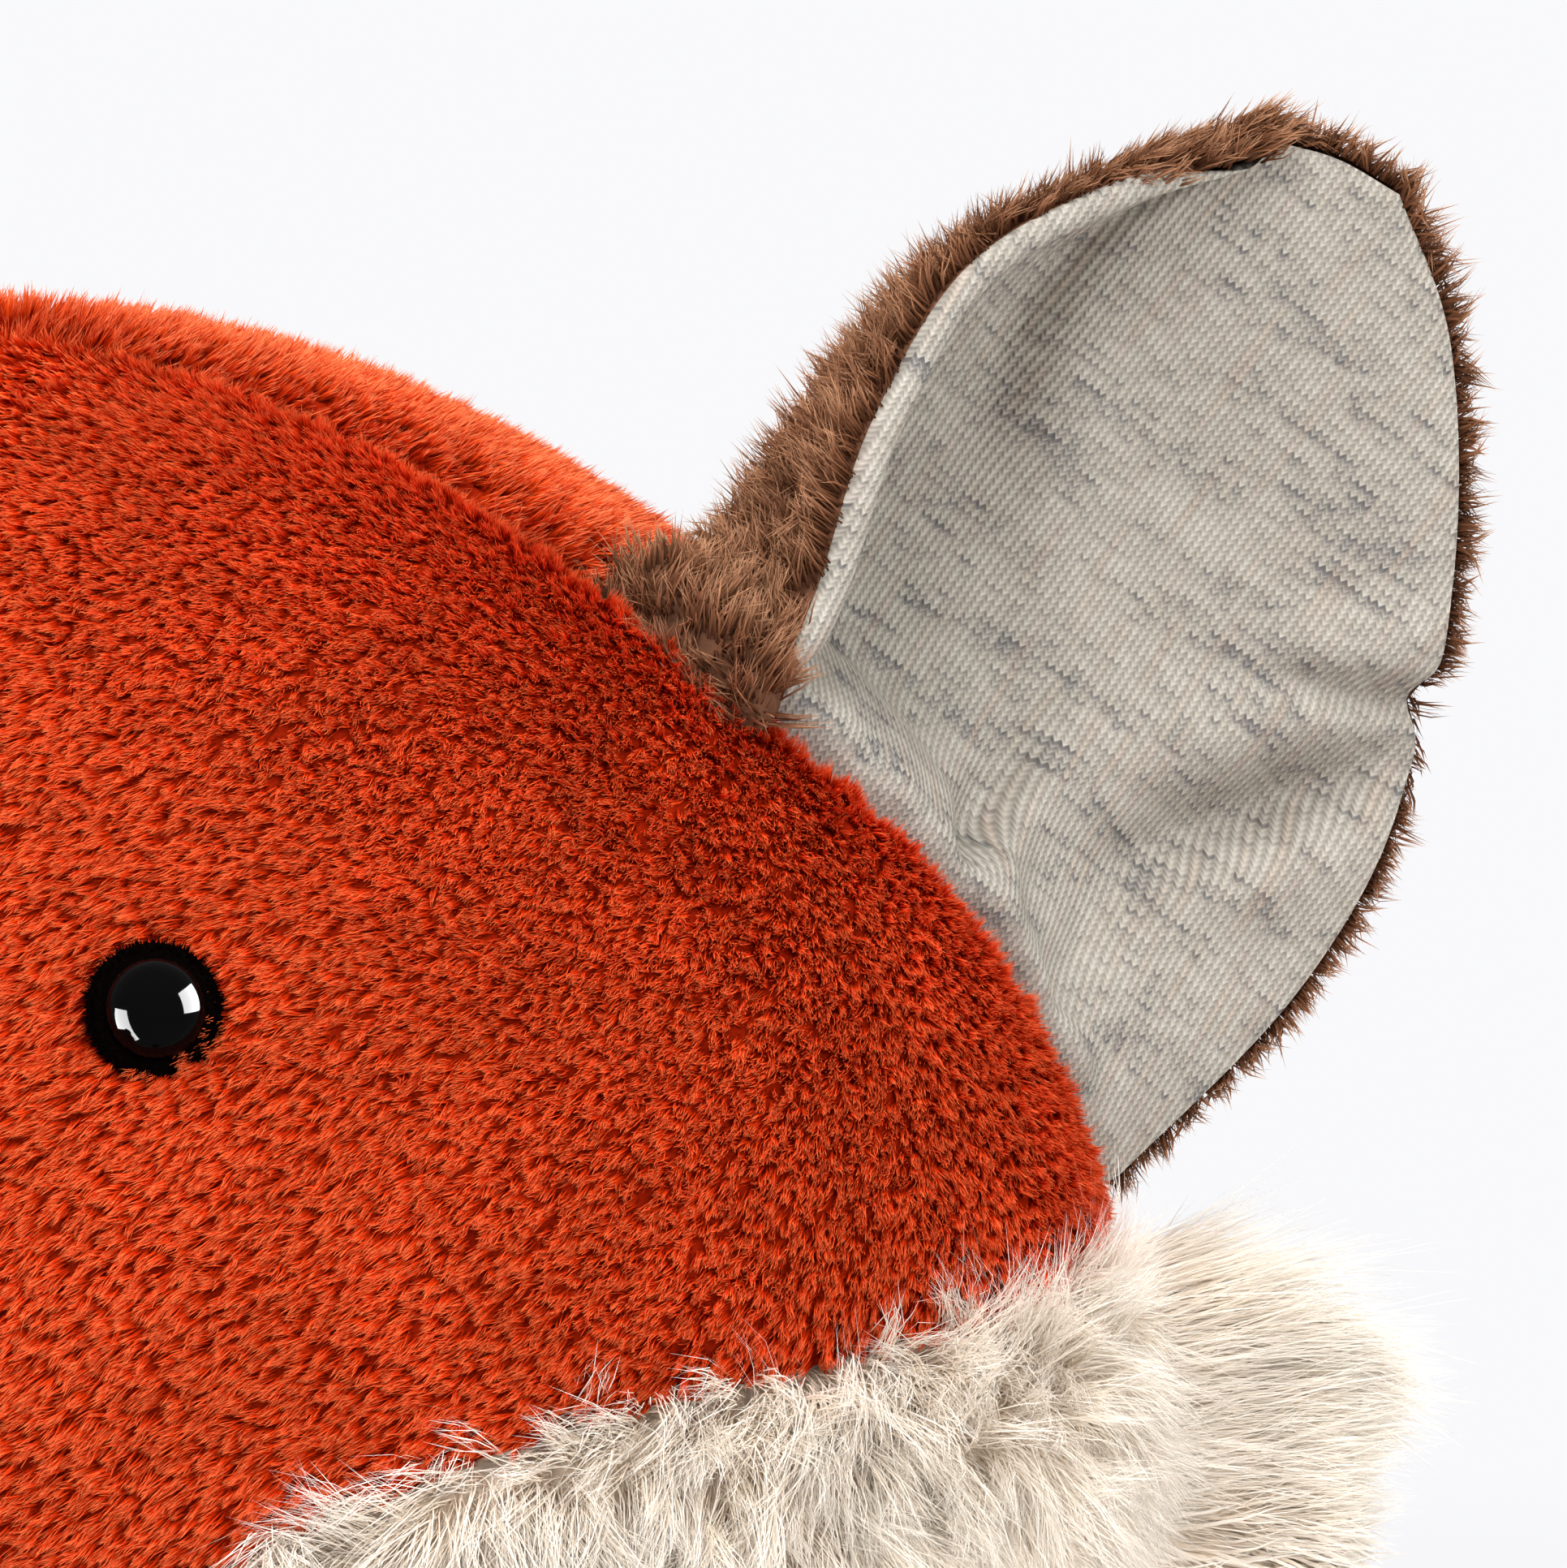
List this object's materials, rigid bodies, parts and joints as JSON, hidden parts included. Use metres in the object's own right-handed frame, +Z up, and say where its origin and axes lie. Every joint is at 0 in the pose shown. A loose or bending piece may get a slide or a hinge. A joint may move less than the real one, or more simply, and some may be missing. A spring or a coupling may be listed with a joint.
{
  "type": "plush_fox",
  "caption": "Sitting plush fox: short-pile rust face and back, long-pile cream cheeks, ruffs and tail tip, brown ears lined with melange jersey, black safety eyes",
  "frame": {"origin": "middle of the flat seat under the torso, on the surface that the toy sits on", "axes": "+Z up, -Y the way the face looks, +X the fox's left side"},
  "size_m": [0.2216, 0.3371, 0.3059],
  "materials": {
    "rust_plush": "matte",
    "cream_long_pile": "matte",
    "brown_plush": "matte",
    "melange_jersey": "matte",
    "black_plastic": "gloss",
    "black_felt": "matte",
    "white_plastic": "satin",
    "nose_cloth": "satin",
    "polyester_fibre": "matte",
    "pellet_bag_cloth": "matte"
  },
  "bodies": {
    "torso": {"back_panel": "rust_plush", "belly_panel": "cream_long_pile", "seat_panel": "rust_plush", "torso_filling": "polyester_fibre", "pellet_bag": "pellet_bag_cloth"},
    "head": {"face_panel": "rust_plush", "head_back_panel": "rust_plush", "head_filling": "polyester_fibre", "nose": "nose_cloth", "left_cheek": "cream_long_pile", "left_ear_back": "brown_plush", "left_ear_lining": "melange_jersey", "left_ruff": "cream_long_pile", "left_eye": "black_plastic", "left_eye_felt": "black_felt", "left_eye_washer": "white_plastic", "right_cheek": "cream_long_pile", "right_ear_back": "brown_plush", "right_ear_lining": "melange_jersey", "right_ruff": "cream_long_pile", "right_eye": "black_plastic", "right_eye_felt": "black_felt", "right_eye_washer": "white_plastic"},
    "left_foreleg": {"left_foreleg_skin": "rust_plush", "left_forepaw": "brown_plush", "left_foreleg_filling": "polyester_fibre"},
    "right_foreleg": {"right_foreleg_skin": "rust_plush", "right_forepaw": "brown_plush", "right_foreleg_filling": "polyester_fibre"},
    "left_hindleg": {"left_hindleg_skin": "rust_plush", "left_foot": "brown_plush", "left_sole": "melange_jersey", "left_hindleg_filling": "polyester_fibre"},
    "right_hindleg": {"right_hindleg_skin": "rust_plush", "right_foot": "brown_plush", "right_sole": "melange_jersey", "right_hindleg_filling": "polyester_fibre"},
    "tail": {"tail_skin": "rust_plush", "tail_tip": "cream_long_pile", "tail_filling": "polyester_fibre"}
  },
  "joints": [
    {"name": "head_turn", "type": "hinge", "parent": "torso", "child": "head", "pos_m": [0, 0, 0.165], "axis": [0, 0, 1], "range_deg": [-30, 30], "stiffness_Nm_per_rad": 0.08},
    {"name": "left_foreleg_swing", "type": "hinge", "parent": "torso", "child": "left_foreleg", "pos_m": [0.06626, 0, 0.14256], "axis": [-0.8529, 0, -0.522], "range_deg": [-40, 65], "stiffness_Nm_per_rad": 0.03},
    {"name": "right_foreleg_swing", "type": "hinge", "parent": "torso", "child": "right_foreleg", "pos_m": [-0.06626, 0, 0.14256], "axis": [-0.8529, 0, 0.522], "range_deg": [-40, 65], "stiffness_Nm_per_rad": 0.03},
    {"name": "left_hindleg_lift", "type": "hinge", "parent": "torso", "child": "left_hindleg", "pos_m": [0.06336, -0.04553, 0.0215], "axis": [-0.9703, -0.2419, 0], "range_deg": [0, 30], "stiffness_Nm_per_rad": 0.04},
    {"name": "right_hindleg_lift", "type": "hinge", "parent": "torso", "child": "right_hindleg", "pos_m": [-0.06336, -0.04553, 0.0215], "axis": [-0.9703, 0.2419, 0], "range_deg": [0, 30], "stiffness_Nm_per_rad": 0.04},
    {"name": "tail_swing", "type": "hinge", "parent": "torso", "child": "tail", "pos_m": [0, 0.06564, 0.026], "axis": [0, 0, 1], "range_deg": [-25, 25], "stiffness_Nm_per_rad": 0.03}
  ]
}
